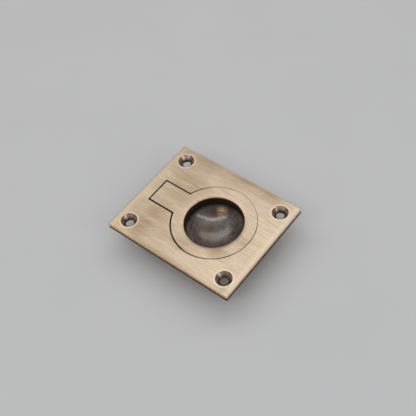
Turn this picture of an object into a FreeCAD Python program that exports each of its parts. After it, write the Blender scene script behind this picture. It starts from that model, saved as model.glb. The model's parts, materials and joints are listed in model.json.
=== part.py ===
"""Flush ring pull in cast brass: a screwed-on plate with a dished cup, a ring that lies flush in it,
and the hinge pin that the ring swings on.

Frame: origin at the middle of the plate's back face, +Z out of the front face, +X along the plate
from the hinge towards the ring, +Y across it, along the hinge pin. Millimetres.
"""
import FreeCAD
import Part
import Sketcher
import math
import os

# Driving sizes: name, millimetres (degrees for an angle), what it is.
DRIVING_SIZES = [
    ("plate_length", 63.5, "plate along X"),
    ("plate_width", 52.0, "plate along Y"),
    ("plate_thickness", 3.0, "plate from back face to front face"),
    ("corner_radius", 0.5, "plate corners seen from the front"),
    ("face_round", 0.3, "soft edge round the front face"),
    ("back_chamfer", 0.4, "bevel round the back face"),
    ("screw_inset_x", 6.25, "screw holes from the ends of the plate"),
    ("screw_inset_y", 6.5, "screw holes from the sides of the plate"),
    ("screw_hole_diameter", 3.8, "clear hole for the screw shank"),
    ("countersink_diameter", 7.15, "countersink at the front face"),
    ("countersink_angle", 90.0, "included angle of the countersink"),
    ("seat_margin", 8.06, "ring's seat from the +X end of the plate"),
    ("ring_outer_radius", 18.3, "outside of the ring"),
    ("ring_hole_radius", 12.7, "finger hole in the ring"),
    ("ring_thickness", 3.5, "ring and tab"),
    ("ring_clearance", 0.3, "between the ring and the wall of its seat"),
    ("ring_float_x", 0.15, "ring off the middle of its seat along X"),
    ("ring_float_y", 0.145, "ring off the middle of its seat along Y"),
    ("seat_clearance", 0.1, "between the ring and the floor of its seat"),
    ("tab_margin", 6.25, "end of the tab from the -X end of the plate"),
    ("tab_width", 11.7, "tab across"),
    ("tab_side_clearance", 0.42, "each side of the tab in its slot"),
    ("slot_round", 0.8, "far corner of the slot, filed round"),
    ("tab_round", 0.6, "corner of the tab beside it"),
    ("neck_round", 1.3, "plate corners where the slot opens into the seat"),
    ("tab_fillet", 1.0, "inside corners between tab and ring"),
    ("lip_width", 2.1, "face of the ring that rolls down to the finger hole"),
    ("lip_curve", 7.5, "radius of that roll in section"),
    ("finger_bevel", 0.3, "both edges of the finger hole"),
    ("edge_break", 0.1, "bevel on the front edges of ring, seat and slot"),
    ("pin_diameter", 1.8, "hinge pin"),
    ("pin_clearance", 0.05, "running clearance round the pin in the tab"),
    ("pin_from_tab_end", 4.0, "pin axis from the end of the tab"),
    ("pin_grip", 4.0, "blind end of the pin in the plate"),
    ("pin_sink", 1.2, "driven end of the pin below the edge of the plate"),
    ("pin_end_chamfer", 0.25, "both ends of the pin"),
    ("heel_end_clearance", 0.08, "swinging tab to the end of its slot"),
    ("heel_floor_clearance", 0.2, "swinging tab to the floor of the heel pocket"),
    ("heel_stop_clearance", 0.1, "upright tab to the wall that stops it"),
    ("seat_floor", 1.6, "metal under the ring's seat"),
    ("hub_wall", 2.0, "metal round the ring's seat, behind the plate"),
    ("hub_bevel", 0.8, "back edge of the hub"),
    ("bowl_undercut", 0.7, "rim of the bowl beyond the finger hole"),
    ("bowl_depth", 8.4, "bowl below the ring's seat"),
    ("cup_wall", 2.1, "metal round the rim of the bowl"),
    ("cup_floor", 1.5, "metal under the bowl"),
    ("cup_foot_radius", 8.6, "flat foot of the cup"),
    ("foot_bevel", 0.9, "edge of the foot"),
    ("box_wall", 1.8, "metal round the heel pocket"),
    ("box_floor", 1.5, "metal under the heel pocket"),
    ("box_corner_radius", 1.2, "upright corners of the hinge box"),
    ("box_bevel", 0.6, "bottom edges of the hinge box"),
]

# Sizes worked out from the driving ones. Every level is a height above the plate's back face.
DERIVED_SIZES = [
    ("seat_radius", "Size.ring_outer_radius + Size.ring_clearance", "ring's seat"),
    ("seat_depth", "Size.ring_thickness + Size.seat_clearance", "seat below the front face"),
    ("seat_level", "Size.plate_thickness - seat_depth", "floor of the seat"),
    ("ring_level", "Size.plate_thickness - Size.ring_thickness", "back of the ring"),
    ("slot_width", "Size.tab_width + 2 * Size.tab_side_clearance", "slot round the tab"),
    ("seat_x", "Size.plate_length / 2 - Size.seat_margin - seat_radius", "middle of the seat"),
    ("ring_x", "seat_x + Size.ring_float_x", "middle of the ring"),
    ("tab_end_x", "-Size.plate_length / 2 + Size.tab_margin", "end of the tab"),
    ("lip_radius", "Size.ring_hole_radius + Size.lip_width", "where the roll leaves the ring's face"),
    ("lip_centre_level", "Size.plate_thickness - Size.lip_curve", "middle of the roll's curve"),
    ("lip_level", "lip_centre_level + sqrt(Size.lip_curve ^ 2 - Size.lip_width ^ 2)", "roll at the hole"),
    ("lip_end_radius", "Size.ring_hole_radius - Size.finger_bevel", "end of the roll's cut"),
    ("pin_x", "tab_end_x + Size.pin_from_tab_end", "pin axis"),
    ("pin_depth", "Size.ring_thickness / 2", "pin axis below the front face"),
    ("pin_level", "Size.plate_thickness - pin_depth", "pin axis"),
    ("heel_sweep", "sqrt(Size.pin_from_tab_end ^ 2 + pin_depth ^ 2)", "corner of the tab round the pin"),
    ("slot_end_x", "pin_x - heel_sweep - Size.heel_end_clearance", "end of the slot"),
    ("heel_stop_x", "pin_x + pin_depth + Size.heel_stop_clearance", "wall that stops the upright tab"),
    ("heel_level", "pin_level - heel_sweep - Size.heel_floor_clearance", "floor of the heel pocket"),
    ("box_level", "heel_level - Size.box_floor", "bottom of the hinge box"),
    ("box_width", "slot_width + 2 * Size.box_wall", "hinge box"),
    ("root_level", "Size.plate_thickness / 2", "where the forms behind the plate start"),
    ("hub_radius", "seat_radius + Size.hub_wall", "hub"),
    ("hub_level", "seat_level - Size.seat_floor", "back of the hub"),
    ("bowl_rim_radius", "Size.ring_hole_radius + Size.bowl_undercut", "rim of the bowl"),
    ("bowl_level", "seat_level - Size.bowl_depth", "lowest point of the bowl"),
    ("cup_shoulder_radius", "bowl_rim_radius + Size.cup_wall", "cup where it leaves the hub"),
    ("cup_level", "bowl_level - Size.cup_floor", "foot of the cup"),
    ("screw_x", "Size.plate_length / 2 - Size.screw_inset_x", "screw holes from the middle"),
    ("screw_y", "Size.plate_width / 2 - Size.screw_inset_y", "screw holes from the middle"),
    ("pin_start_y", "-slot_width / 2 - Size.pin_grip", "blind end of the pin"),
    ("pin_end_y", "Size.plate_width / 2 - Size.pin_sink", "driven end of the pin"),
    ("pin_length", "pin_end_y - pin_start_y", "pin"),
    ("bore_length", "Size.plate_width / 2 - pin_start_y", "bore for the pin in the plate"),
    ("tab_bore_diameter", "Size.pin_diameter + 2 * Size.pin_clearance", "bore for the pin in the tab"),
]

# A sketch's own numbers for its axes, the points of a curve and its origin.
ACROSS_AXIS, UP_AXIS = range(-1, -3, -1)
START, END, CENTRE = range(1, 4)
ORIGIN, ORIGIN_POINT = ACROSS_AXIS, START
SKETCH_NORMAL = FreeCAD.Vector(0, 0, 1)
FULL_TURN = 360
NEAR = 1e-4

doc = FreeCAD.newDocument("ring_pull")


def make_sheet(name, rows):
    """A sheet with a note in column A and an aliased cell in column B for each row."""
    sheet = doc.addObject("Spreadsheet::Sheet", name)
    for row, (alias, content, note) in enumerate(rows, start=1):
        sheet.set("A%d" % row, note)
        sheet.set("B%d" % row, content)
        sheet.setAlias("B%d" % row, alias)
    doc.recompute()
    return sheet


size = make_sheet("Size", [(alias, str(number), note) for alias, number, note in DRIVING_SIZES])
make_sheet("Place", [(alias, "=" + formula, note) for alias, formula, note in DERIVED_SIZES])


def value(expression):
    """What an expression on the two sheets comes to."""
    return float(size.evalExpression(expression))


def new_body(name):
    body = doc.addObject("PartDesign::Body", name)
    body.Label = name
    return body


def new_sketch(body, name, role, **offsets):
    """A sketch on one of the body's own planes, moved along the plane's x, y or z by expressions."""
    sketch = body.newObject("Sketcher::SketchObject", name)
    plane = next(feature for feature in body.Origin.OriginFeatures if feature.Role == role)
    sketch.AttachmentSupport = [(plane, "")]
    sketch.MapMode = "FlatFace"
    for axis, expression in offsets.items():
        sketch.setExpression("AttachmentOffset.Base." + axis, expression)
    return sketch


def tie_along(sketch, kind, curve, point, expression):
    """Hold a point of a curve at an expression along X or Y, measured from the sketch's origin."""
    if expression == "0":
        axis = UP_AXIS if kind == "DistanceX" else ACROSS_AXIS
        sketch.addConstraint(Sketcher.Constraint("PointOnObject", curve, point, axis))
        return
    distance = Sketcher.Constraint(kind, ORIGIN, ORIGIN_POINT, curve, point, value(expression))
    index = sketch.addConstraint(distance)
    sketch.setExpression("Constraints[%d]" % index, expression)


def tie_point(sketch, curve, point, across, up):
    tie_along(sketch, "DistanceX", curve, point, across)
    tie_along(sketch, "DistanceY", curve, point, up)


def point_at(across, up):
    return FreeCAD.Vector(value(across), value(up), 0)


def draw_loop(sketch, shapes):
    """Curves that follow each other round, each one's end held to the start of the next."""
    curves = [sketch.addGeometry(shape, False) for shape in shapes]
    for curve, following in zip(curves, curves[1:] + curves[:1]):
        sketch.addConstraint(Sketcher.Constraint("Coincident", curve, END, following, START))
    return curves


def draw_polygon(sketch, corners):
    """Straight edges through the corners, each corner given as two expressions."""
    points = [point_at(across, up) for across, up in corners]
    following = points[1:] + points[:1]
    curves = draw_loop(sketch, [Part.LineSegment(*ends) for ends in zip(points, following)])
    for curve, (across, up) in zip(curves, corners):
        tie_point(sketch, curve, START, across, up)


def draw_rectangle(sketch, low_x, high_x, low_y, high_y):
    draw_polygon(sketch, [(low_x, low_y), (high_x, low_y), (high_x, high_y), (low_x, high_y)])


def draw_circle(sketch, across, up, radius):
    curve = sketch.addGeometry(Part.Circle(point_at(across, up), SKETCH_NORMAL, value(radius)), False)
    tie_point(sketch, curve, CENTRE, across, up)
    index = sketch.addConstraint(Sketcher.Constraint("Radius", curve, value(radius)))
    sketch.setExpression("Constraints[%d]" % index, radius)


def add_feature(body, kind, name, sketch, **settings):
    """A sketched feature whose settings are expressions (text) or plain values, checked for its effect."""
    before = body.Shape.Volume if body.Tip else 0
    feature = body.newObject("PartDesign::" + kind, name)
    feature.Profile = sketch
    for key, setting in settings.items():
        if isinstance(setting, str):
            feature.setExpression(key, setting)
        else:
            setattr(feature, key, setting)
    doc.recompute()
    change = feature.Shape.Volume - before
    cuts = kind in ("Pocket", "Groove", "Hole")
    if (change < 0) != cuts or abs(change) < NEAR:
        raise RuntimeError("%s changed the solid by %.4f cubic millimetres" % (name, change))
    return feature


def revolve(body, kind, name, sketch):
    """Turn a profile about the sketch's own upright axis, to add or to cut."""
    return add_feature(body, kind, name, sketch, ReferenceAxis=(sketch, ["V_Axis"]), Angle=FULL_TURN)


def soften(body, kind, name, wanted, key, amount):
    """A Fillet or Chamfer of the body's edges that pass the test."""
    base = body.Tip
    names = ["Edge%d" % number for number, edge in enumerate(base.Shape.Edges, start=1) if wanted(edge)]
    if not names:
        raise RuntimeError(name + " found no edge")
    feature = body.newObject("PartDesign::" + kind, name)
    feature.Base = (base, names)
    feature.setExpression(key, amount)
    doc.recompute()
    return feature


def fillet(body, name, wanted, radius):
    return soften(body, "Fillet", name, wanted, "Radius", radius)


def chamfer(body, name, wanted, amount):
    return soften(body, "Chamfer", name, wanted, "Size", amount)


def points_on(edge):
    first, last = edge.ParameterRange
    return [edge.valueAt(parameter) for parameter in (first, (first + last) / 2, last)]


def lies_at(edge, level):
    """True for an edge that lies flat at a height, given as an expression."""
    return all(abs(point.z - value(level)) < NEAR for point in points_on(edge))


def is_upright(edge):
    first, _, last = points_on(edge)
    across = math.hypot(last.x - first.x, last.y - first.y)
    return across < NEAR and abs(last.z - first.z) > NEAR


def is_at(edge, across, up):
    """True for an edge whose middle stands at a place on the plate."""
    middle = points_on(edge)[1]
    return abs(middle.x - value(across)) < NEAR and abs(middle.y - value(up)) < NEAR


def distance_from(edge, centre_x, centre_y):
    """Greatest and least plan distance of an edge from an upright axis."""
    reach = [math.hypot(point.x - value(centre_x), point.y - value(centre_y)) for point in points_on(edge)]
    return max(reach), min(reach)


def is_round(edge, centre_x, centre_y, radius):
    """True for an edge that runs round an upright axis at a radius."""
    far, near = distance_from(edge, centre_x, centre_y)
    return abs(far - value(radius)) < NEAR and abs(near - value(radius)) < NEAR


def add_plate(body):
    """Rectangular plate with soft front edges and a bevelled back, so that it lets into its cut-out."""
    outline = new_sketch(body, "plate_outline", "XY_Plane")
    draw_rectangle(outline, "-Size.plate_length / 2", "Size.plate_length / 2",
                   "-Size.plate_width / 2", "Size.plate_width / 2")
    add_feature(body, "Pad", "plate", outline, Length="Size.plate_thickness")
    fillet(body, "plate_corners", is_upright, "Size.corner_radius")
    fillet(body, "plate_face_edge", lambda edge: lies_at(edge, "Size.plate_thickness"), "Size.face_round")
    chamfer(body, "plate_back_edge", lambda edge: lies_at(edge, "0"), "Size.back_chamfer")


def add_cup(body):
    """Hub round the ring's seat and the footed cup round the bowl, turned about the ring's middle."""
    profile = new_sketch(body, "cup_profile", "XZ_Plane", x="Place.seat_x")
    draw_polygon(profile, [
        ("0", "Place.root_level"),
        ("Place.hub_radius", "Place.root_level"),
        ("Place.hub_radius", "Place.hub_level + Size.hub_bevel"),
        ("Place.hub_radius - Size.hub_bevel", "Place.hub_level"),
        ("Place.cup_shoulder_radius", "Place.hub_level"),
        ("Size.cup_foot_radius + Size.foot_bevel", "Place.cup_level + Size.foot_bevel"),
        ("Size.cup_foot_radius", "Place.cup_level"),
        ("0", "Place.cup_level"),
    ])
    revolve(body, "Revolution", "cup", profile)


def add_hinge_box(body):
    """Neck under the tab, as deep as the hub, and the deeper box round the heel pocket."""
    blocks = (
        ("neck", "Place.seat_x - Place.cup_shoulder_radius", "Place.hub_level"),
        ("hinge_box", "Place.heel_stop_x + Size.box_wall", "Place.box_level"),
    )
    for name, inner_x, level in blocks:
        outline = new_sketch(body, name + "_outline", "XY_Plane", z="Place.root_level")
        draw_rectangle(outline, "Place.slot_end_x - Size.box_wall", inner_x,
                       "-Place.box_width / 2", "Place.box_width / 2")
        add_feature(body, "Pad", name, outline, Length="Place.root_level - " + level, Reversed=True)
    fillet(body, "box_corners", is_box_corner, "Size.box_corner_radius")
    chamfer(body, "box_edges", lambda edge: lies_at(edge, "Place.box_level"), "Size.box_bevel")


def is_box_corner(edge):
    """The four upright corners of the hinge box, behind the plate."""
    middle = points_on(edge)[1]
    at_side = abs(abs(middle.y) - value("Place.box_width / 2")) < NEAR
    ends = (value("Place.slot_end_x - Size.box_wall"), value("Place.heel_stop_x + Size.box_wall"))
    at_end = any(abs(middle.x - end) < NEAR for end in ends)
    return is_upright(edge) and at_side and at_end


def cut_seat(body):
    """Keyhole recess: round seat for the ring, slot for its tab, and the heel pocket under the slot."""
    seat = new_sketch(body, "seat_outline", "XY_Plane", z="Size.plate_thickness")
    draw_circle(seat, "Place.seat_x", "0", "Place.seat_radius")
    add_feature(body, "Pocket", "seat", seat, Length="Place.seat_depth")
    slots = (
        ("slot", "Place.seat_x", "Place.seat_depth"),
        ("heel_pocket", "Place.heel_stop_x", "Size.plate_thickness - Place.heel_level"),
    )
    for name, inner_x, depth in slots:
        outline = new_sketch(body, name + "_outline", "XY_Plane", z="Size.plate_thickness")
        draw_rectangle(outline, "Place.slot_end_x", inner_x, "-Place.slot_width / 2", "Place.slot_width / 2")
        add_feature(body, "Pocket", name, outline, Length=depth)
    fillet(body, "slot_corner", is_slot_corner, "Size.slot_round")
    fillet(body, "neck_corners", is_neck_corner, "Size.neck_round")


def is_slot_corner(edge):
    return is_upright(edge) and is_at(edge, "Place.slot_end_x", "Place.slot_width / 2")


def is_neck_corner(edge):
    middle = points_on(edge)[1]
    at_side = abs(abs(middle.y) - value("Place.slot_width / 2")) < NEAR
    return at_side and is_upright(edge) and is_round(edge, "Place.seat_x", "0", "Place.seat_radius")


def cut_bowl(body):
    """Dish under the finger hole: a cap of a sphere, deepest on the ring's axis."""
    profile = new_sketch(body, "bowl_profile", "XZ_Plane", x="Place.seat_x")
    rim, depth = value("Place.bowl_rim_radius"), value("Size.bowl_depth")
    radius = (rim ** 2 + depth ** 2) / (2 * depth)
    middle = FreeCAD.Vector(0, value("Place.bowl_level") + radius, 0)
    bottom_angle = -math.pi / 2
    rim_angle = math.atan2(depth - radius, rim)
    dish = Part.ArcOfCircle(Part.Circle(middle, SKETCH_NORMAL, radius), bottom_angle, rim_angle)
    corners = [("0", "Place.bowl_level"), ("Place.bowl_rim_radius", "Place.seat_level"),
               ("Place.bowl_rim_radius", "Size.plate_thickness"), ("0", "Size.plate_thickness")]
    bottom, rim_point, rim_top, axis_top = [point_at(across, up) for across, up in corners]
    curves = draw_loop(profile, [dish, Part.LineSegment(rim_point, rim_top),
                                 Part.LineSegment(rim_top, axis_top), Part.LineSegment(axis_top, bottom)])
    for curve, (across, up) in zip(curves, corners):
        tie_point(profile, curve, START, across, up)
    tie_along(profile, "DistanceX", curves[0], CENTRE, "0")
    revolve(body, "Groove", "bowl", profile)


def drill_screw_holes(body):
    """Four countersunk holes, near the corners of the plate."""
    centres = new_sketch(body, "screw_centres", "XY_Plane", z="Size.plate_thickness")
    for side_x in ("-", ""):
        for side_y in ("-", ""):
            draw_circle(centres, side_x + "Place.screw_x", side_y + "Place.screw_y",
                        "Size.screw_hole_diameter / 2")
    hole = body.newObject("PartDesign::Hole", "screw_holes")
    hole.Profile = centres
    doc.recompute()
    hole.ThreadType = "None"
    hole.DepthType = "ThroughAll"
    hole.HoleCutType = "Countersink"
    hole.HoleCutCustomValues = True
    hole.setExpression("Diameter", "Size.screw_hole_diameter")
    hole.setExpression("HoleCutDiameter", "Size.countersink_diameter")
    hole.setExpression("HoleCutCountersinkAngle", "Size.countersink_angle")
    doc.recompute()


def drill_pin_bore(body):
    """Bore for the hinge pin, drilled from the plate's far edge and blind past the slot."""
    mouth = new_sketch(body, "pin_bore_mouth", "XZ_Plane", z="-Size.plate_width / 2")
    draw_circle(mouth, "Place.pin_x", "Place.pin_level", "Size.pin_diameter / 2")
    add_feature(body, "Pocket", "pin_bore", mouth, Length="Place.bore_length", Reversed=True)


def make_backplate():
    body = new_body("backplate")
    add_plate(body)
    add_cup(body)
    add_hinge_box(body)
    cut_seat(body)
    cut_bowl(body)
    chamfer(body, "seat_edge_break", is_seat_front_edge, "Size.edge_break")
    drill_screw_holes(body)
    drill_pin_bore(body)
    return body


def is_seat_front_edge(edge):
    """The keyhole outline in the front face."""
    middle = points_on(edge)[1]
    low_x, high_x = value("Place.slot_end_x"), value("Place.seat_x + Place.seat_radius")
    in_length = low_x - NEAR < middle.x < high_x + NEAR
    in_width = abs(middle.y) < value("Place.seat_radius") + NEAR
    return in_length and in_width and lies_at(edge, "Size.plate_thickness")


def make_pull_ring():
    """Flat ring with the tab that hangs it, one casting, with a rolled edge for the finger."""
    body = new_body("pull_ring")
    band = new_sketch(body, "ring_outline", "XY_Plane", z="Place.ring_level")
    draw_circle(band, "Place.ring_x", "Size.ring_float_y", "Size.ring_outer_radius")
    add_feature(body, "Pad", "ring_disc", band, Length="Size.ring_thickness")
    tab = new_sketch(body, "tab_outline", "XY_Plane", z="Place.ring_level")
    draw_rectangle(tab, "Place.tab_end_x", "Place.ring_x",
                   "Size.ring_float_y - Size.tab_width / 2", "Size.ring_float_y + Size.tab_width / 2")
    add_feature(body, "Pad", "tab", tab, Length="Size.ring_thickness")
    fillet(body, "tab_corners", is_tab_corner, "Size.tab_fillet")
    fillet(body, "tab_end_corner", is_tab_end_corner, "Size.tab_round")
    cut_lip(body)
    hole = new_sketch(body, "finger_hole_outline", "XY_Plane", z="Size.plate_thickness")
    draw_circle(hole, "Place.ring_x", "Size.ring_float_y", "Size.ring_hole_radius")
    add_feature(body, "Pocket", "finger_hole", hole, Length="Size.ring_thickness")
    chamfer(body, "finger_edges", is_finger_edge, "Size.finger_bevel")
    chamfer(body, "ring_edge_break", is_ring_front_edge, "Size.edge_break")
    bore = new_sketch(body, "tab_bore_mouth", "XZ_Plane", z="-Size.plate_width / 2")
    draw_circle(bore, "Place.pin_x", "Place.pin_level", "Place.tab_bore_diameter / 2")
    add_feature(body, "Pocket", "tab_bore", bore, Length="Size.plate_width", Reversed=True)
    return body


def cut_lip(body):
    """Roll the ring's face down to the finger hole: an arc that leaves the face smoothly, turned round."""
    profile = new_sketch(body, "lip_profile", "XZ_Plane", x="Place.ring_x", z="-Size.ring_float_y")
    middle = point_at("Place.lip_radius", "Place.lip_centre_level")
    curve_radius = value("Size.lip_curve")
    top_angle = math.pi / 2
    turn = math.asin(value("Place.lip_radius - Place.lip_end_radius") / curve_radius)
    roll = Part.ArcOfCircle(Part.Circle(middle, SKETCH_NORMAL, curve_radius), top_angle, top_angle + turn)
    face_point = point_at("Place.lip_radius", "Size.plate_thickness")
    axis_top = point_at("0", "Size.plate_thickness")
    axis_low = FreeCAD.Vector(0, roll.EndPoint.y, 0)
    rolled, level, upright, top = draw_loop(profile, [
        roll, Part.LineSegment(roll.EndPoint, axis_low),
        Part.LineSegment(axis_low, axis_top), Part.LineSegment(axis_top, face_point)])
    tie_point(profile, rolled, CENTRE, "Place.lip_radius", "Place.lip_centre_level")
    tie_point(profile, rolled, START, "Place.lip_radius", "Size.plate_thickness")
    tie_along(profile, "DistanceX", rolled, END, "Place.lip_end_radius")
    tie_point(profile, top, START, "0", "Size.plate_thickness")
    profile.addConstraint(Sketcher.Constraint("Horizontal", level))
    profile.addConstraint(Sketcher.Constraint("Vertical", upright))
    revolve(body, "Groove", "lip", profile)


def is_tab_corner(edge):
    on_ring = is_round(edge, "Place.ring_x", "Size.ring_float_y", "Size.ring_outer_radius")
    return on_ring and is_upright(edge) and points_on(edge)[1].x < value("Place.ring_x")


def is_tab_end_corner(edge):
    return is_upright(edge) and is_at(edge, "Place.tab_end_x", "Size.ring_float_y + Size.tab_width / 2")


def is_finger_edge(edge):
    """The finger hole where it meets the roll in front and the ring's back."""
    at_hole = is_round(edge, "Place.ring_x", "Size.ring_float_y", "Size.ring_hole_radius")
    return at_hole and (lies_at(edge, "Place.lip_level") or lies_at(edge, "Place.ring_level"))


def is_ring_front_edge(edge):
    """The outline of ring and tab in the front face."""
    nearest = distance_from(edge, "Place.ring_x", "Size.ring_float_y")[1]
    outside = nearest > value("Place.lip_radius") + NEAR
    return outside and lies_at(edge, "Size.plate_thickness")


def make_hinge_pin():
    """Plain steel pin, chamfered at both ends."""
    body = new_body("hinge_pin")
    section = new_sketch(body, "pin_section", "XZ_Plane", z="-Place.pin_start_y")
    draw_circle(section, "Place.pin_x", "Place.pin_level", "Size.pin_diameter / 2")
    add_feature(body, "Pad", "pin", section, Length="Place.pin_length", Reversed=True)
    chamfer(body, "pin_ends", lambda edge: edge.isClosed(), "Size.pin_end_chamfer")
    return body


def check_document(parts):
    """Stop if an object failed to compute or a part is not one sound solid."""
    for item in doc.Objects:
        if any(state in ("Invalid", "Error") for state in item.State):
            raise RuntimeError("%s did not compute: %s" % (item.Name, item.State))
    for body in parts:
        shape = body.Shape
        if shape.isNull() or not shape.isValid() or len(shape.Solids) != 1:
            raise RuntimeError(body.Label + " is not one sound solid")


parts = [make_backplate(), make_pull_ring(), make_hinge_pin()]
doc.recompute()
check_document(parts)
os.makedirs("parts", exist_ok=True)
for body in parts:
    body.Shape.exportStep("parts/%s.step" % body.Label)
    box = body.Shape.BoundBox
    print("%s: %.0f mm3, x %.2f to %.2f, y %.2f to %.2f, z %.2f to %.2f" % (
        body.Label, body.Shape.Volume, box.XMin, box.XMax, box.YMin, box.YMax, box.ZMin, box.ZMax))
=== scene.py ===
"""Looks of the flush ring pull: brushed antique brass, dark in its recesses, on a pale studio floor.

Frame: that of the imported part, in metres, with the plate's front face up and its back face at zero.
"""
import json
import math
from functools import reduce
from operator import add, or_
from types import SimpleNamespace
import bpy
from mathutils import Matrix, Quaternion, Vector


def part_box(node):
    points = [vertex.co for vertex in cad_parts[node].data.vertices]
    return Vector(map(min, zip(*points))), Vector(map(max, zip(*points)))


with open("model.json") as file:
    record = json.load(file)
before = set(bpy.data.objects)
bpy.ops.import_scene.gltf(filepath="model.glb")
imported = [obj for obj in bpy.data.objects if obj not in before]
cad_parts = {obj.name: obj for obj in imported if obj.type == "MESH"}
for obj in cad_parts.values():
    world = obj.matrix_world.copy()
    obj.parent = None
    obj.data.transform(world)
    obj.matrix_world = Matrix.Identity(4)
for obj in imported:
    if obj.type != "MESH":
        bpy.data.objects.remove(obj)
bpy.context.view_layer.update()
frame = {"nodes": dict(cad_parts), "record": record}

MM = 0.001
PER_MM = 1000.0
ROOT_HALF = 0.5 ** 0.5

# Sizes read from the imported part, in millimetres.
plate_low, plate_high = [corner * PER_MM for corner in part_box("backplate")]
ring_low, ring_high = [corner * PER_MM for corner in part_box("pull_ring")]
FACE_LEVEL = plate_high.z
FOOT_LEVEL = plate_low.z
RING_BACK = ring_low.z
HALF_LENGTH = plate_high.x
HALF_WIDTH = plate_high.y
RING_RADIUS = (ring_high.y - ring_low.y) / 2
RING_X = ring_high.x - RING_RADIUS
RING_Y = (ring_high.y + ring_low.y) / 2
TAB_END_X = ring_low.x
screws = next(mount["dims"] for mount in frame["record"]["mounts"] if mount["name"] == "screw_holes")
SCREW_X = screws["spacing_x_mm"] / 2
SCREW_Y = screws["spacing_y_mm"] / 2

# Sizes of the finish, in millimetres.
COUNTERSINK_RADIUS = 3.575
HALO_RADIUS = COUNTERSINK_RADIUS + 0.35
# A darker line near the +X edge: painted shade where a rounded edge would reflect darker.
SHADE_LINE_X = HALF_LENGTH - 0.85
SEAT_RADIUS = RING_RADIUS + 0.7
HOLE_RADIUS = 12.7
BOWL_RIM_RADIUS = 13.4
SLOT_HALF_WIDTH = 6.5
SLOT_MOUTH_X = RING_X - RING_RADIUS
SLOT_GAP_X = TAB_END_X - 0.2
SLOT_GAP_Y = 6.06
# Half width of the black lines of painted shade along the tab's slot.
GAP_SHADE_HALF_WIDTH = 0.28
POCKET_LEVEL = -3.5
EDGE_RAGGEDNESS = 0.4
GROOVE_DEPTH = 0.008
WIRE_GROOVE_DEPTH = 0.004
SAND_GROOVES = 4.0

# Where each finish starts and stops. A pair gives the place where its mask is 0, then where it is 1.
# Heights and distances are in millimetres. A lean is 1 facing up, 0 upright and -1 facing down.
FACE_HEIGHT = (FACE_LEVEL - 0.12, FACE_LEVEL - 0.10)
FACE_LEAN = (0.55, 0.68)
# Painted shade: walls turn black towards the face, so the gaps read dark.
WALL_SHADE_HEIGHT = (FACE_LEVEL - 1.6, FACE_LEVEL - 0.9)
GAP_REACH = (0.75, 0.65)
GAP_LEAN = (0.95, 0.88)
GAP_HEIGHT = (FACE_LEVEL - 0.9, FACE_LEVEL - 0.3)
# Painted shade along the tab's slot: black lines beside and beyond the tab.
GAP_SHADE_REACH = (GAP_SHADE_HALF_WIDTH + 0.1, GAP_SHADE_HALF_WIDTH)
GAP_SHADE_MOUTH = (SLOT_MOUTH_X + 1.5, SLOT_MOUTH_X + 0.5)
GAP_SHADE_LENGTH = (SLOT_GAP_X - GAP_SHADE_HALF_WIDTH - 0.1, SLOT_GAP_X - GAP_SHADE_HALF_WIDTH)
GAP_SHADE_WIDTH = (SLOT_GAP_Y + GAP_SHADE_HALF_WIDTH + 0.1, SLOT_GAP_Y + GAP_SHADE_HALF_WIDTH)
LENGTH_EDGE = (HALF_LENGTH - 0.45, HALF_LENGTH - 0.25)
WIDTH_EDGE = (HALF_WIDTH - 0.45, HALF_WIDTH - 0.25)
EDGE_LEAN = (0.10, 0.45)
EDGE_HEIGHT = (FACE_LEVEL - 1.0, FACE_LEVEL - 0.6)
SINK_REACH = (COUNTERSINK_RADIUS, COUNTERSINK_RADIUS - 0.05)
SINK_LEAN = (0.4, 0.6)
SINK_SHADE = (2.8, 2.0)
HALO_REACH = (0.6, 0.2)
SHADE_LINE_REACH = (0.35, 0.10)
BOWL_REACH = (BOWL_RIM_RADIUS + 0.15, BOWL_RIM_RADIUS)
BOWL_LEAN = (0.2, 0.3)
BOWL_HEIGHT = (RING_BACK, RING_BACK - 0.1)
BOWL_SHADE = (11.2, 12.8)
# Painted shade under the ring's rim: the bowl goes black towards it.
BOWL_RIM_SHADE = (12.1, 13.0)
SEAT_REACH = (SEAT_RADIUS, SEAT_RADIUS - 0.1)
SEAT_HEIGHT = (-0.9, -0.7)
SLOT_WIDTH = (SLOT_HALF_WIDTH + 0.1, SLOT_HALF_WIDTH)
SLOT_LENGTH = (TAB_END_X - 0.7, TAB_END_X - 0.6)
POCKET_HEIGHT = (POCKET_LEVEL - 0.1, POCKET_LEVEL)
RECESS_LEAN = (-0.6, -0.4)
BACK_LEAN = (0.35, 0.05)
BACK_HEIGHT = (0.45, 0.35)
LIP_REACH = (RING_RADIUS - 2.0, RING_RADIUS - 2.2)
LIP_HEIGHT = (2.2, 2.4)
LIP_WEAR = (HOLE_RADIUS + 1.9, HOLE_RADIUS + 0.1)
LIP_WEAR_SIDE = (-0.2, 0.5)
RING_EDGE = (0.30, 0.12)
HOLE_EDGE = (HOLE_RADIUS + 0.45, HOLE_RADIUS + 0.25)
RING_BACK_EDGE = (RING_BACK + 0.35, RING_BACK + 0.15)
TARNISH_SLOPE = (10.0, -16.0)

# Noises: grain per millimetre along X, Y and Z, then detail. Turned work runs along the radius, then round.
HAIR_LINES = ((0.13, 4.0, 3.4), 3.0)
BRUSH_LINES = ((0.05, 1.7, 1.4), 2.0)
BRUSH_BANDS = ((0.03, 0.45, 0.4), 2.0)
SATIN_GRAIN = ((1.7, 3.2, 2.6), 2.0)
TARNISH_CLOUDS = ((0.09, 0.13, 0.1), 3.0)
BLUSH_CLOUDS = ((0.07, 0.10, 0.08), 2.0)
SCRATCH_LINES = ((0.10, 2.4, 0.3), 2.0)
MOTTLE = ((0.55, 0.55, 0.55), 4.0)
TURNED_RINGS = ((1.5, 1.8, 1.8), 3.0)
TURNED_RAYS = ((0.22, 6.0, 6.0), 3.0)
CAST_SAND = ((1.6, 1.6, 1.6), 4.0)
WIRE_LINES = ((9.0, 0.15, 9.0), 3.0)
FLOOR_GRAIN = ((0.02, 0.02, 0.02), 2.0)

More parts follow.
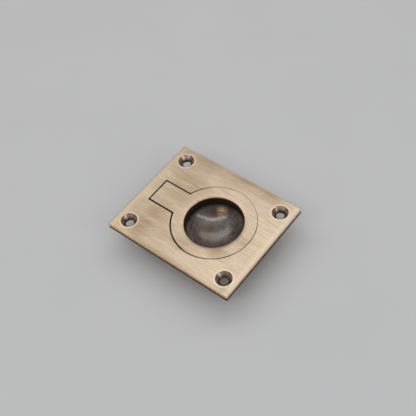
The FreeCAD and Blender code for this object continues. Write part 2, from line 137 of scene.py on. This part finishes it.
# Shifts that keep noises from repeating, in the noise's own measure.
NO_SHIFT = (0.0, 0.0, 0.0)
PLATE_SHIFT = (3.0, 0.0, 0.0)
RING_SHIFT = (11.0, 5.0, 0.0)
BLUSH_SHIFT_Y = 9.0
RINGS_SHIFT = (0.0, 4.0, 0.0)
RAYS_SHIFT = (3.0, 0.0, 0.0)

# Noise levels between which a mark comes up.
STREAK_LEVELS = (0.42, 0.58)
CLOUD_LEVELS = (0.30, 0.70)
BLUSH_LEVELS = (0.42, 0.62)
SCRATCH_LEVELS = (0.64, 0.70)
STAIN_LEVELS = (0.40, 0.70)
TURNED_LEVELS = (0.44, 0.58)
GLINT_LEVELS = (0.40, 0.60)
BLOOM_LEVELS = (0.40, 0.62)
RECESS_LEVELS = (0.40, 0.62)
RING_BACK_LEVELS = (0.40, 0.60)
SIDE_LEVELS = (0.42, 0.70)
SAND_LEVELS = (0.35, 0.7)

# Shares of the noises that a mark is blended from.
STREAK_SHARES = (0.52, 0.16, 0.06, 0.26)
CLOUD_SHARES = (0.6, 0.4)
GROOVE_SHARES = (0.6, 0.4, -0.5)
TURNED_SHARES = (0.5, 0.5)
TURNED_HEIGHTS = (0.8, 0.4)
RUBBED_SHARES = (0.7, 0.3)
LACQUER_SHARES = (0.9, 0.8)

# How strongly each mark shows, from 0 to 1.
TARNISH_SLOPE_DEPTH = 0.36
BLUSH_DEPTH = 0.8
STREAK_DEPTH = 0.40
SCRATCH_DEPTH = 0.45
LACQUER_SHINE = 0.8
HALO_DEPTH = 0.6
SHADE_LINE_DEPTH = 0.45
SINK_SHADE_DEPTH = 0.8
STAIN_DEPTH = 0.45
MIDDLE_DEPTH = 0.8
FLOOR_STAIN_DEPTH = 0.6
NEAR_STAIN_DEPTH = 0.7
TURNED_DEPTH = 0.60
BOWL_SHADE_DEPTH = 0.6
RIGHT_SHADE_DEPTH = 0.7
LIP_WEAR_DEPTH = 0.6

# The least and the further part of marks that vary.
TARNISH_LEAST, TARNISH_FURTHER = 0.45, 1.1
GLOSS_LEAST, GLOSS_FURTHER = 0.8, 0.5
GOLD_LEAST = 0.2
BACK_EDGE_LEAST = 0.3
LACQUER_LEAST = 0.1

# Roughness of plain stretches, and what lines, tarnish and other marks add to it.
FACE_ROUGHNESS = 0.31
FACE_LINES_ROUGHNESS = 0.12
TARNISH_ROUGHNESS = 0.04
RECESS_ROUGHNESS = 0.20
TURNED_ROUGHNESS = 0.14
BOWL_ROUGHNESS = 0.25
CAST_ROUGHNESS = 0.25
RING_BACK_ROUGHNESS = 0.30
MOTTLE_ROUGHNESS = 0.15
WIRE_ROUGHNESS = 0.28
WIRE_LINES_ROUGHNESS = 0.2
FLOOR_ROUGHNESS = 0.85

# The bowl: its lacquer, how far stains dull that, and how far patina hides the metal.
LACQUER_ROUGHNESS = 0.17
LACQUER_IOR = 2.0
STAIN_DULLING = 0.75
MIDDLE_DULLING = 0.5
PATINA_COVER = 0.55
BROWN_COVER = 0.35

# Tarnish on the front: the middle of each patch, its reach along X and Y, and how deep it is.
# Below zero it is rubbed off.
TARNISH_BLOTS = [
    ((-16.0, 9.0), (10.0, 9.0), 0.32),
    ((-19.0, -14.0), (9.0, 11.0), 0.42),
    ((3.0, -16.5), (11.0, 4.5), 0.95),
    ((16.0, -11.0), (8.0, 6.0), 0.85),
    ((22.0, -2.0), (6.0, 8.0), 0.45),
    ((2.0, -27.5), (44.0, 5.5), 0.60),
    ((9.0, 26.5), (26.0, 9.5), 1.00),
    ((-18.0, 25.0), (14.0, 6.0), 0.25),
    ((18.0, 25.0), (14.0, 5.0), 0.55),
    ((-30.0, 25.0), (6.0, 4.0), 0.40),
    ((-18.0, -22.5), (8.0, 5.0), 0.35),
    ((28.5, -24.5), (5.0, 4.0), 0.35),
    ((-29.0, 8.0), (7.0, 7.0), -0.50),
    ((-28.0, -4.0), (6.0, 5.0), -0.40),
    ((-8.0, 18.0), (6.0, 5.0), -0.40),
]

# Stains, painted shade, a painted reflection and gloss in the bowl: middle and reach along its diagonals,
# rightwards (+X +Y), then away (-X +Y).
BOWL_BROWN = ((5.2, 7.0), (9.0, 3.4))
# Painted reflection: a warm gold patch on the bowl's far right.
BOWL_GOLD = ((8.1, 6.8), (3.4, 2.8))
BOWL_MIDDLE = ((1.6, 1.0), (8.0, 3.2))
BOWL_FLOOR = ((0.0, -3.0), (7.0, 4.0))
BOWL_NEAR = ((3.5, -11.0), (11.0, 6.0))
# Painted shade on the bowl's right rim.
BOWL_RIGHT = ((13.5, -6.0), (5.0, 7.0))
BOWL_GLOSS = ((2.2, 4.2), (5.0, 3.2))

# Stretches of the gap round the ring: bearing from +X, where it fades in towards that bearing, and depth.
LACQUERED_GAP = [(90.0, (0.55, 0.85), 1.0), (-72.0, (0.84, 0.96), 0.9)]
# These stretches of the gap are blackened with painted shade.
SHADED_GAP = [(-130.0, (0.80, 0.90), 1.0), (12.0, (0.92, 0.98), 0.6)]
LIP_WEAR_BEARING = 0.0

# Scratches run at a slant to the brush lines.
SCRATCH_ALONG = 0.83
SCRATCH_ACROSS = 0.56

# Camera: where it aims in the part's frame, in millimetres, and how it looks there.
CAMERA_AIM = Vector((-1.243, 4.368, 3.0))
CAMERA_DISTANCE = 326.92
CAMERA_AZIMUTH = 45.64
CAMERA_ELEVATION = 53.16
CAMERA_ROLL = -9.43
CAMERA_LENS = 66.49
CAMERA_SENSOR = 36.0
CAMERA_CLIP_SHARE = 0.01

# Colours, as linear light.
BRASS_PALE = (0.80, 0.655, 0.485, 1.0)
BRASS_ROSE = (0.80, 0.65, 0.52, 1.0)
BRASS_STRAW = (0.76, 0.625, 0.42, 1.0)
# Burnished brass, also used as a painted highlight on the +X edge.
BRASS_BURNISH_AND_HIGHLIGHT = (0.90, 0.75, 0.57, 1.0)
BRASS_DEEP = (0.40, 0.28, 0.16, 1.0)
BRASS_TARNISH = (0.53, 0.385, 0.255, 1.0)
BRASS_GOLD = (0.62, 0.44, 0.24, 1.0)
# Warm gold of a painted reflection in the bowl.
GOLD_REFLECTION_BRASS = (0.92, 0.52, 0.24, 1.0)
EDGE_GOLD = (0.85, 0.56, 0.28, 1.0)
LIP_GOLD = (0.82, 0.57, 0.31, 1.0)
BRONZE = (0.58, 0.36, 0.21, 1.0)
BRONZE_MAUVE = (0.66, 0.54, 0.48, 1.0)
PATINA = (0.29, 0.24, 0.205, 1.0)
PATINA_BROWN = (0.20, 0.105, 0.055, 1.0)
PATINA_UMBER = (0.125, 0.066, 0.036, 1.0)
# Dark patina, also used for painted shade in the bowl and the countersinks.
DARK_PATINA_AND_SHADE = (0.07, 0.056, 0.048, 1.0)
# Black for painted shade in the gaps and under the ring's rim.
SHADE_BLACK = (0.012, 0.009, 0.007, 1.0)
RECESS_BRONZE = (0.085, 0.060, 0.042, 1.0)
RECESS_WORN = (0.19, 0.135, 0.088, 1.0)
# Near-black of the plate's sides: painted shade.
SIDE_SHADE_BROWN = (0.024, 0.016, 0.011, 1.0)
SIDE_WORN = (0.065, 0.044, 0.030, 1.0)
CAST_BRASS = (0.42, 0.31, 0.17, 1.0)
CAST_SHADE = (0.26, 0.18, 0.10, 1.0)
DRAWN_STEEL = (0.20, 0.185, 0.17, 1.0)
STEEL_SHADE = (0.09, 0.08, 0.07, 1.0)
FLOOR_PALE = (0.87, 0.87, 0.875, 1.0)
FLOOR_SHADE = (0.82, 0.82, 0.83, 1.0)
LIGHT_WARM = (1.0, 0.985, 0.965)
LIGHT_COOL = (0.94, 0.98, 1.0)
SKY_LOW = (0.10, 0.10, 0.10, 1.0)
SKY_HIGH = (0.42, 0.42, 0.42, 1.0)
SKY_EDGE = (0.34, 0.34, 0.34, 1.0)

# Bands across the front at its short edges: where they fade in along X, depth and colour.
FRONT_BANDS = [
    ((4.0 - HALF_LENGTH, 1.5 - HALF_LENGTH), 0.7, BRASS_STRAW),
    # A painted reflection: the thin gold band along the -X edge, as a rounded edge would show.
    ((0.9 - HALF_LENGTH, 0.4 - HALF_LENGTH), 0.6, BRASS_GOLD),
    ((HALF_LENGTH - 3.5, HALF_LENGTH - 0.5), 0.7, BRASS_BURNISH_AND_HIGHLIGHT),
]

# Light bars: name, colour, azimuth and elevation of each end, distance and width in metres, brightness.
STRIPS_MEET = (56.0, 59.0)
LIGHT_BARS = [
    ("key", LIGHT_WARM, (162.7, 40.0), (287.3, 40.0), 0.885, 0.32, 0.85),
    ("strip_near", LIGHT_COOL, STRIPS_MEET, (99.5, 18.0), 0.8, 0.10, 2.0),
    ("strip_side", LIGHT_COOL, STRIPS_MEET, (341.5, 37.0), 0.8, 0.10, 2.6),
]

# Sky: between which heights, as a share of straight up, it brightens and its pale strip ends.
SKY_RISE = (0.15, 0.85)
SKY_STRIP = (0.10, 0.04)
FLOOR_REACH = 20.0


def blend(noises, shares):
    """Sum of noises, each times its share."""
    return reduce(add, [noise * share for noise, share in zip(noises, shares)])


def span(across, along):
    """Length of a line from its two measures."""
    return (across * across + along * along) ** 0.5


class Wire:
    """A node's output that can stand in a sum. Each operator adds a Math node."""

    def __init__(self, nodes, socket):
        self.nodes = nodes
        self.socket = socket

    def math(self, operation, *terms):
        return self.nodes.node("ShaderNodeMath", {"operation": operation}, dict(enumerate(terms)))

    def __add__(self, other):
        return self.math("ADD", self, other)

    def __sub__(self, other):
        return self.math("SUBTRACT", self, other)

    def __rsub__(self, other):
        return self.math("SUBTRACT", other, self)

    def __mul__(self, other):
        return self.math("MULTIPLY", self, other)

    def __truediv__(self, other):
        return self.math("DIVIDE", self, other)

    def __rtruediv__(self, other):
        return self.math("DIVIDE", other, self)

    def __pow__(self, other):
        return self.math("POWER", self, other)

    def __abs__(self):
        return self.math("ABSOLUTE", self)

    def __or__(self, other):
        return self.math("MAXIMUM", self, other)

    __radd__ = __add__
    __rmul__ = __mul__

    def also(self, name):
        """Another output of the same node."""
        return Wire(self.nodes, self.socket.node.outputs[name])


class Nodes:
    """The node tree of a material or a world, built up node by node."""

    MIX_FACTOR, MIX_A, MIX_B, MIX_RESULT = 0, 6, 7, 2

    def __init__(self, owner):
        owner.use_nodes = True
        self.tree = owner.node_tree
        self.tree.nodes.clear()

    def node(self, kind, settings=None, sockets=None, out=0):
        """Add a node: settings first, then a value or a link for each socket. Gives an output, if any."""
        made = self.tree.nodes.new(kind)
        for key, setting in (settings or {}).items():
            setattr(made, key, setting)
        for key, content in (sockets or {}).items():
            if isinstance(content, Wire):
                self.tree.links.new(content.socket, made.inputs[key])
            else:
                made.inputs[key].default_value = content
        return Wire(self, made.outputs[out]) if made.outputs else None

    def mix(self, factor, first, second):
        """From the first colour at factor 0 to the second at 1."""
        sockets = {self.MIX_FACTOR: factor, self.MIX_A: first, self.MIX_B: second}
        return self.node("ShaderNodeMix", {"data_type": "RGBA"}, sockets, out=self.MIX_RESULT)

    def step(self, content, low, high):
        """Smoothly from 0 below low to 1 above high. With low above high it falls instead."""
        sockets = {"Value": content, "From Min": low, "From Max": high}
        return self.node("ShaderNodeMapRange", {"interpolation_type": "SMOOTHSTEP"}, sockets)


class Finish(Nodes):
    """One material, with the part's frame in millimetres at hand."""

    def __init__(self, name):
        self.material = bpy.data.materials.new(name)
        super().__init__(self.material)
        here = self.node("ShaderNodeTexCoord", out="Object")
        self.place = self.scaled(here, (PER_MM, PER_MM, PER_MM))
        self.x = self.node("ShaderNodeSeparateXYZ", sockets={0: self.place})
        self.y, self.z = self.x.also("Y"), self.x.also("Z")
        self.lean = self.node("ShaderNodeSeparateXYZ", sockets={0: here.also("Normal")}, out="Z")

    def scaled(self, vector, factors):
        return self.node("ShaderNodeVectorMath", {"operation": "MULTIPLY"}, {0: vector, 1: factors})

    def moved(self, vector, offset):
        return self.node("ShaderNodeVectorMath", {"operation": "ADD"}, {0: vector, 1: offset})

    def noise(self, grain, shift=NO_SHIFT, vector=None):
        """Noise of a grain per millimetre and a detail, over the part or over another vector."""
        stretch, detail = grain
        vector = self.moved(self.scaled(vector or self.place, stretch), shift)
        return self.node("ShaderNodeTexNoise", sockets={"Vector": vector, "Scale": 1.0, "Detail": detail})

    def from_axis(self):
        """Plan distance from the ring's axis."""
        return span(self.x - RING_X, self.y - RING_Y)

    def from_screw(self):
        """Plan distance from the nearest screw's axis."""
        return span(abs(self.x) - SCREW_X, abs(self.y) - SCREW_Y)

    def turned(self):
        """A vector to draw round lines with: radius, then the direction from the ring's axis."""
        radius = self.from_axis()
        return self.node("ShaderNodeCombineXYZ", sockets={
            "X": radius, "Y": (self.x - RING_X) / radius, "Z": (self.y - RING_Y) / radius})

    def slanted(self):
        """A vector to draw slanted lines with."""
        return self.node("ShaderNodeCombineXYZ", sockets={
            "X": self.x * SCRATCH_ALONG + self.y * SCRATCH_ACROSS,
            "Y": self.y * SCRATCH_ALONG - self.x * SCRATCH_ACROSS,
            "Z": self.z})

    def spot(self, across, along, centre, reach):
        """A soft oval in two measures of place: 1 in its middle, 0 from its reach on."""
        off_centre = span((across - centre[0]) / reach[0], (along - centre[1]) / reach[1])
        return self.step(off_centre, 1.0, 0.0)

    def toward(self, azimuth):
        """How far a place lies round the ring's axis towards a bearing from +X: 1 on it, -1 opposite."""
        bearing = math.radians(azimuth)
        across, along = self.x - RING_X, self.y - RING_Y
        return (across * math.cos(bearing) + along * math.sin(bearing)) / self.from_axis()

    def gap_edge(self):
        """The bevels and the top of the walls at the gap round the ring, not the flat face beside it."""
        on_round = self.step(abs(self.from_axis() - RING_RADIUS), *GAP_REACH)
        return on_round * self.step(self.lean, *GAP_LEAN) * self.step(self.z, *GAP_HEIGHT)

    def stretches(self, edges, table):
        """The stretches of an edge round the ring that a table names."""
        return reduce(or_, [edges * self.step(self.toward(azimuth), *fade) * depth
                            for azimuth, fade, depth in table])

    def bump(self, height, distance):
        sockets = {"Height": height, "Distance": distance * MM, "Strength": 1.0}
        return self.node("ShaderNodeBump", sockets=sockets)

    def surface(self, sockets):
        """End the material in one Principled shader."""
        shader = self.node("ShaderNodeBsdfPrincipled", sockets=sockets)
        self.node("ShaderNodeOutputMaterial", sockets={"Surface": shader})
        return self.material


def brushed_face(finish, shift):
    """Colour, roughness and groove height of brass brushed along X, tarnished in places."""
    hair = finish.noise(HAIR_LINES, shift)
    line = finish.noise(BRUSH_LINES, shift)
    band = finish.noise(BRUSH_BANDS, shift)
    grain = finish.noise(SATIN_GRAIN, shift)
    cloud = finish.noise(TARNISH_CLOUDS, shift)
    streak = finish.step(blend((hair, line, band, grain), STREAK_SHARES), *STREAK_LEVELS)

    tarnish = finish.step(finish.x, *TARNISH_SLOPE) * TARNISH_SLOPE_DEPTH
    for centre, reach, depth in TARNISH_BLOTS:
        tarnish = tarnish + finish.spot(finish.x, finish.y, centre, reach) * depth
    clouds = finish.step(blend((cloud, band), CLOUD_SHARES), *CLOUD_LEVELS)
    tarnish = tarnish * (TARNISH_LEAST + clouds * TARNISH_FURTHER)

    blush = finish.step(finish.noise(BLUSH_CLOUDS, (shift[0], BLUSH_SHIFT_Y, 0.0)), *BLUSH_LEVELS)
    colour = finish.mix(blush * BLUSH_DEPTH, BRASS_PALE, BRASS_ROSE)
    colour = finish.mix(tarnish, colour, BRASS_TARNISH)
    colour = finish.mix(streak * STREAK_DEPTH, colour, BRASS_DEEP)
    scratch = finish.step(finish.noise(SCRATCH_LINES, shift, finish.slanted()), *SCRATCH_LEVELS)
    colour = finish.mix(scratch * SCRATCH_DEPTH, colour, BRASS_BURNISH_AND_HIGHLIGHT)
    roughness = FACE_ROUGHNESS + line * FACE_LINES_ROUGHNESS + tarnish * TARNISH_ROUGHNESS
    groove = blend((hair, line, scratch), GROOVE_SHARES)
    return colour, roughness, groove


def gap_marks(finish):
    """Where lacquer closes the gap round the ring, and where painted shade blackens the edges of gap and
    slot.
    """
    edges = finish.gap_edge()
    beside_tab = (finish.step(abs(abs(finish.y) - SLOT_GAP_Y), *GAP_SHADE_REACH)
                  * finish.step(finish.x, *GAP_SHADE_MOUTH) * finish.step(finish.x, *GAP_SHADE_LENGTH))
    beyond_tab = (finish.step(abs(finish.x - SLOT_GAP_X), *GAP_SHADE_REACH)
                  * finish.step(abs(finish.y), *GAP_SHADE_WIDTH))
    closed = finish.stretches(edges, LACQUERED_GAP)
    gap_shade = finish.stretches(edges, SHADED_GAP) | beside_tab | beyond_tab
    return closed, gap_shade


def plate_masks(finish, mottle):
    """Where each surface of the backplate is: 1 on it, 0 off it."""
    from_axis = finish.from_axis()
    near_screw = finish.step(finish.from_screw(), *SINK_REACH)
    face = finish.step(finish.z, *FACE_HEIGHT) * finish.step(finish.lean, *FACE_LEAN) * (1 - near_screw)
    outside = finish.step(abs(finish.x), *LENGTH_EDGE) | finish.step(abs(finish.y), *WIDTH_EDGE)
    edge = outside * (finish.step(finish.lean, *EDGE_LEAN)
                      | finish.step(finish.z + mottle * EDGE_RAGGEDNESS, *EDGE_HEIGHT))
    sunk = near_screw * finish.step(finish.lean, *SINK_LEAN)
    bowl = (finish.step(from_axis, *BOWL_REACH)
            * finish.step(finish.lean, *BOWL_LEAN) * finish.step(finish.z, *BOWL_HEIGHT))
    in_seat = finish.step(from_axis, *SEAT_REACH) * finish.step(finish.z, *SEAT_HEIGHT)
    in_slot = (finish.step(abs(finish.y), *SLOT_WIDTH)
               * finish.step(finish.x, *SLOT_LENGTH) * finish.step(finish.z, *POCKET_HEIGHT))
    recess = (in_seat | in_slot) * finish.step(finish.lean, *RECESS_LEAN)
    behind = (finish.step(finish.lean, *BACK_LEAN) * finish.step(finish.z, *BACK_HEIGHT)
              * (1 - recess) * (1 - bowl) * (1 - sunk))
    return SimpleNamespace(face=face, edge=edge, side=outside * (1 - edge), sunk=sunk, bowl=bowl,
                           recess=recess, behind=behind)


def bowl_patina(finish, mottle, rings, rays):
    """Colour of the bowl, with painted shade towards and under the ring's rim and a painted reflection on
    its far right, how much lacquer is left on it, and where it is brown.
    """
    right, far = (finish.x + finish.y) * ROOT_HALF, (finish.y - finish.x) * ROOT_HALF
    from_axis = finish.from_axis()
    brown = finish.spot(right, far, *BOWL_BROWN)
    # Painted reflection: a gold patch broken into glints along the turned rings.
    gold = finish.spot(right, far, *BOWL_GOLD) * (GOLD_LEAST + finish.step(rings, *GLINT_LEVELS))
    middle = (finish.spot(right, far, *BOWL_MIDDLE)
              | finish.spot(right, far, *BOWL_FLOOR) * FLOOR_STAIN_DEPTH)
    turned_lines = finish.step(blend((rings, rays), TURNED_SHARES), *TURNED_LEVELS)
    rim_shade = finish.step(from_axis, *BOWL_RIM_SHADE)
    stains = [
        (finish.step(mottle, *STAIN_LEVELS) * STAIN_DEPTH, PATINA_BROWN),
        (middle * MIDDLE_DEPTH, PATINA_BROWN),
        (finish.spot(right, far, *BOWL_NEAR) * NEAR_STAIN_DEPTH, PATINA_BROWN),
        (brown, PATINA_UMBER),
        (turned_lines * TURNED_DEPTH, DARK_PATINA_AND_SHADE),
        (gold, GOLD_REFLECTION_BRASS),
        # Painted shade: darker towards the rim, on the right, and black under the ring.
        (finish.step(from_axis, *BOWL_SHADE) * BOWL_SHADE_DEPTH, DARK_PATINA_AND_SHADE),
        (finish.spot(right, far, *BOWL_RIGHT) * RIGHT_SHADE_DEPTH, DARK_PATINA_AND_SHADE),
        (rim_shade, SHADE_BLACK),
    ]
    colour = PATINA
    for mask, stain in stains:
        colour = finish.mix(mask, colour, stain)
    gloss = GLOSS_LEAST + finish.spot(right, far, *BOWL_GLOSS) * GLOSS_FURTHER
    clear = (1 - (brown | middle * MIDDLE_DULLING) * STAIN_DULLING) * (1 - rim_shade)
    lacquer = gloss * clear * (LACQUER_LEAST + blend((rings, rays), LACQUER_SHARES))
    return colour, lacquer, brown


def countersink_bronze(finish, mottle):
    """Colour of the countersinks: bronze with a mauve bloom, with painted shade towards the hole."""
    colour = finish.mix(finish.step(mottle, *BLOOM_LEVELS), BRONZE, BRONZE_MAUVE)
    return finish.mix(finish.step(finish.from_screw(), *SINK_SHADE) * SINK_SHADE_DEPTH, colour, DARK_PATINA_AND_SHADE)


def plate_front(finish, colour, closed):
    """Colour of the plate's front: brushed brass with pale halos round the countersinks, edge bands, a line
    of painted shade near the +X edge, and lacquer in the gap.
    """
    halo = finish.step(abs(finish.from_screw() - HALO_RADIUS), *HALO_REACH)
    colour = finish.mix(halo * HALO_DEPTH, colour, BRASS_BURNISH_AND_HIGHLIGHT)
    for fade, depth, shade in FRONT_BANDS:
        colour = finish.mix(finish.step(finish.x, *fade) * depth, colour, shade)
    # Painted shade: a darker line along the +X edge, as a rounded edge would show.
    shade_line = finish.step(abs(finish.x - SHADE_LINE_X), *SHADE_LINE_REACH)
    colour = finish.mix(shade_line * SHADE_LINE_DEPTH, colour, BRASS_TARNISH)
    return finish.mix(closed * LACQUER_SHINE, colour, BRASS_BURNISH_AND_HIGHLIGHT)


def plate_brass():
    """Backplate: brushed front, gold edges that are worn and painted with highlight, near-black sides of
    painted shade, dark recesses and bowl, plain cast back.
    """
    finish = Finish("plate_brass")
    brushed, brushed_rough, groove = brushed_face(finish, PLATE_SHIFT)
    mottle = finish.noise(MOTTLE)
    rings = finish.noise(TURNED_RINGS, RINGS_SHIFT, finish.turned())
    rays = finish.noise(TURNED_RAYS, RAYS_SHIFT, finish.turned())
    sand = finish.noise(CAST_SAND)
    on = plate_masks(finish, mottle)
    closed, gap_shade = gap_marks(finish)
    dish, lacquer, brown = bowl_patina(finish, mottle, rings, rays)

    rubbed = finish.step(blend((rings, mottle), RUBBED_SHARES), *RECESS_LEVELS)
    colour = finish.mix(rubbed, RECESS_BRONZE, RECESS_WORN)
    # Painted shade: black at the top of the walls, in the gaps beside the face.
    colour = finish.mix(finish.step(finish.z, *WALL_SHADE_HEIGHT), colour, SHADE_BLACK)
    # The face colour is left off the gap's edges that carry painted shade.
    colour = finish.mix(on.face * (1 - gap_shade) | closed, colour, plate_front(finish, brushed, closed))
    # Edges: gold, worn brass and painted highlight in one; at the +X end pale, a painted highlight.
    rim = finish.mix(finish.step(finish.x, *LENGTH_EDGE), EDGE_GOLD, BRASS_BURNISH_AND_HIGHLIGHT)
    # Sides: near-black, a painted shade.
    side = finish.mix(finish.step(mottle, *SIDE_LEVELS), SIDE_SHADE_BROWN, SIDE_WORN)
    cast = finish.mix(finish.step(sand, *SAND_LEVELS), CAST_BRASS, CAST_SHADE)
    surfaces = [(on.edge, rim), (on.side, side), (on.sunk, countersink_bronze(finish, mottle)),
                (on.bowl, dish), (on.behind, cast)]
    for mask, shade in surfaces:
        colour = finish.mix(mask, colour, shade)

    rough = (brushed_rough * on.face + (RECESS_ROUGHNESS + rings * TURNED_ROUGHNESS) * (1 - on.face)
             + on.bowl * BOWL_ROUGHNESS + on.behind * CAST_ROUGHNESS)
    height = (groove * on.face + blend((rings, rays), TURNED_HEIGHTS) * (on.bowl | on.recess)
              + sand * on.behind * SAND_GROOVES)
    return finish.surface({
        "Base Color": colour,
        "Metallic": 1 - on.bowl * (PATINA_COVER + brown * BROWN_COVER) - closed,
        "Roughness": rough,
        "Coat Weight": on.bowl * lacquer,
        "Coat Roughness": LACQUER_ROUGHNESS,
        "Coat IOR": LACQUER_IOR,
        "Normal": finish.bump(height, GROOVE_DEPTH),
    })


def ring_brass():
    """Ring and tab: brushed front and rolled lip, dark walls and back, with painted shade at the top of the
    walls and along the gap.
    """
    finish = Finish("ring_brass")
    brushed, brushed_rough, groove = brushed_face(finish, RING_SHIFT)
    mottle = finish.noise(MOTTLE)
    from_axis = finish.from_axis()
    lip = finish.step(from_axis, *LIP_REACH) * finish.step(finish.z, *LIP_HEIGHT)
    front = (finish.step(finish.z, *FACE_HEIGHT) | lip) * finish.step(finish.lean, *FACE_LEAN)
    closed, gap_shade = gap_marks(finish)

    rubbed = finish.step(blend((groove, mottle), RUBBED_SHARES), *RING_BACK_LEVELS)
    both_edges = finish.step(abs(from_axis - RING_RADIUS), *RING_EDGE) | finish.step(from_axis, *HOLE_EDGE)
    back_edge = both_edges * finish.step(finish.z, *RING_BACK_EDGE)
    dark = finish.mix(rubbed, RECESS_BRONZE, RECESS_WORN)
    dark = finish.mix(back_edge * (BACK_EDGE_LEAST + mottle), dark, BRASS_GOLD)
    # Painted shade: black at the top of the ring's walls, in the gaps and the finger hole.
    dark = finish.mix(finish.step(finish.z, *WALL_SHADE_HEIGHT), dark, SHADE_BLACK)

    worn = (finish.step(from_axis, *LIP_WEAR) * front
            * finish.step(finish.toward(LIP_WEAR_BEARING), *LIP_WEAR_SIDE))
    bright = finish.mix(closed * LACQUER_SHINE, brushed, BRASS_BURNISH_AND_HIGHLIGHT)
    bright = finish.mix(worn * LIP_WEAR_DEPTH, bright, LIP_GOLD)
    back_rough = RING_BACK_ROUGHNESS + mottle * MOTTLE_ROUGHNESS
    return finish.surface({
        # Where the gap's edges carry painted shade, the ring's dark colour shows.
        "Base Color": finish.mix(front * (1 - gap_shade) | closed, dark, bright),
        "Metallic": 1 - closed,
        "Roughness": brushed_rough * front + back_rough * (1 - front),
        "Normal": finish.bump(groove, GROOVE_DEPTH),
    })


def pin_steel():
    """Drawn wire: fine lines along the pin."""
    finish = Finish("pin_steel")
    lines = finish.noise(WIRE_LINES)
    return finish.surface({
        "Base Color": finish.mix(lines, DRAWN_STEEL, STEEL_SHADE),
        "Metallic": 1.0,
        "Roughness": WIRE_ROUGHNESS + lines * WIRE_LINES_ROUGHNESS,
        "Normal": finish.bump(lines, WIRE_GROOVE_DEPTH),
    })


def wear(node, material):
    """Give a CAD node its material."""
    shown = frame["nodes"][node]
    shown.data.materials.clear()
    shown.data.materials.append(material)


def direction(azimuth, elevation):
    """Unit vector from the part towards a place round it. Azimuth 0 is -Y and 90 is +X."""
    turn, rise = math.radians(azimuth), math.radians(elevation)
    return Vector((math.sin(turn) * math.cos(rise), -math.cos(turn) * math.cos(rise), math.sin(rise)))


def add_camera():
    lens = bpy.data.cameras.new("camera")
    lens.sensor_width = CAMERA_SENSOR
    lens.lens = CAMERA_LENS
    lens.clip_start = CAMERA_DISTANCE * MM * CAMERA_CLIP_SHARE
    camera = bpy.data.objects.new("camera", lens)
    outward = direction(CAMERA_AZIMUTH, CAMERA_ELEVATION)
    camera.location = (CAMERA_AIM + outward * CAMERA_DISTANCE) * MM
    camera.rotation_mode = "QUATERNION"
    roll = Quaternion((0.0, 0.0, 1.0), math.radians(CAMERA_ROLL))
    camera.rotation_quaternion = (-outward).to_track_quat("-Z", "Y") @ roll
    bpy.context.collection.objects.link(camera)
    bpy.context.scene.camera = camera


def add_bar(name, colour, start, end, distance, width, brightness):
    """Area light that faces the part, between two directions from it as azimuth and elevation."""
    first, last = direction(*start) * distance, direction(*end) * distance
    along, middle = last - first, (first + last) / 2
    panel = bpy.data.lights.new(name, "AREA")
    panel.shape = "RECTANGLE"
    panel.size = along.length
    panel.size_y = width
    panel.color = colour
    panel.energy = brightness * math.pi * along.length * width
    light = bpy.data.objects.new(name, panel)
    light.location = middle
    outward, along = middle.normalized(), along.normalized()
    light.rotation_mode = "QUATERNION"
    light.rotation_quaternion = Matrix((along, outward.cross(along), outward)).transposed().to_quaternion()
    bpy.context.collection.objects.link(light)


def add_world():
    """Soft light from all round, dimmer low down, with a pale strip where it meets the floor."""
    world = bpy.data.worlds.new("studio")
    nodes = Nodes(world)
    toward = nodes.node("ShaderNodeTexCoord", out="Generated")
    rise = nodes.node("ShaderNodeSeparateXYZ", sockets={0: toward}, out="Z")
    sky = nodes.mix(nodes.step(rise, *SKY_RISE), SKY_LOW, SKY_HIGH)
    sky = nodes.mix(nodes.step(rise, *SKY_STRIP), sky, SKY_EDGE)
    glow = nodes.node("ShaderNodeBackground", sockets={"Color": sky})
    nodes.node("ShaderNodeOutputWorld", sockets={"Surface": glow})
    bpy.context.scene.world = world


def add_floor():
    """Wide pale floor that the cup's foot stands on."""
    level = FOOT_LEVEL * MM
    mesh = bpy.data.meshes.new("floor")
    signs = [(-1, -1), (1, -1), (1, 1), (-1, 1)]
    corners = [(x * FLOOR_REACH, y * FLOOR_REACH, level) for x, y in signs]
    mesh.from_pydata(corners, [], [(0, 1, 2, 3)])
    floor = bpy.data.objects.new("floor", mesh)
    bpy.context.collection.objects.link(floor)
    finish = Finish("floor_pale")
    floor.data.materials.append(finish.surface({
        "Base Color": finish.mix(finish.noise(FLOOR_GRAIN), FLOOR_PALE, FLOOR_SHADE),
        "Roughness": FLOOR_ROUGHNESS,
    }))


wear("backplate", plate_brass())
wear("pull_ring", ring_brass())
wear("hinge_pin", pin_steel())
add_camera()
add_floor()
add_world()
for bar in LIGHT_BARS:
    add_bar(*bar)
bpy.context.scene.view_settings.view_transform = "Standard"
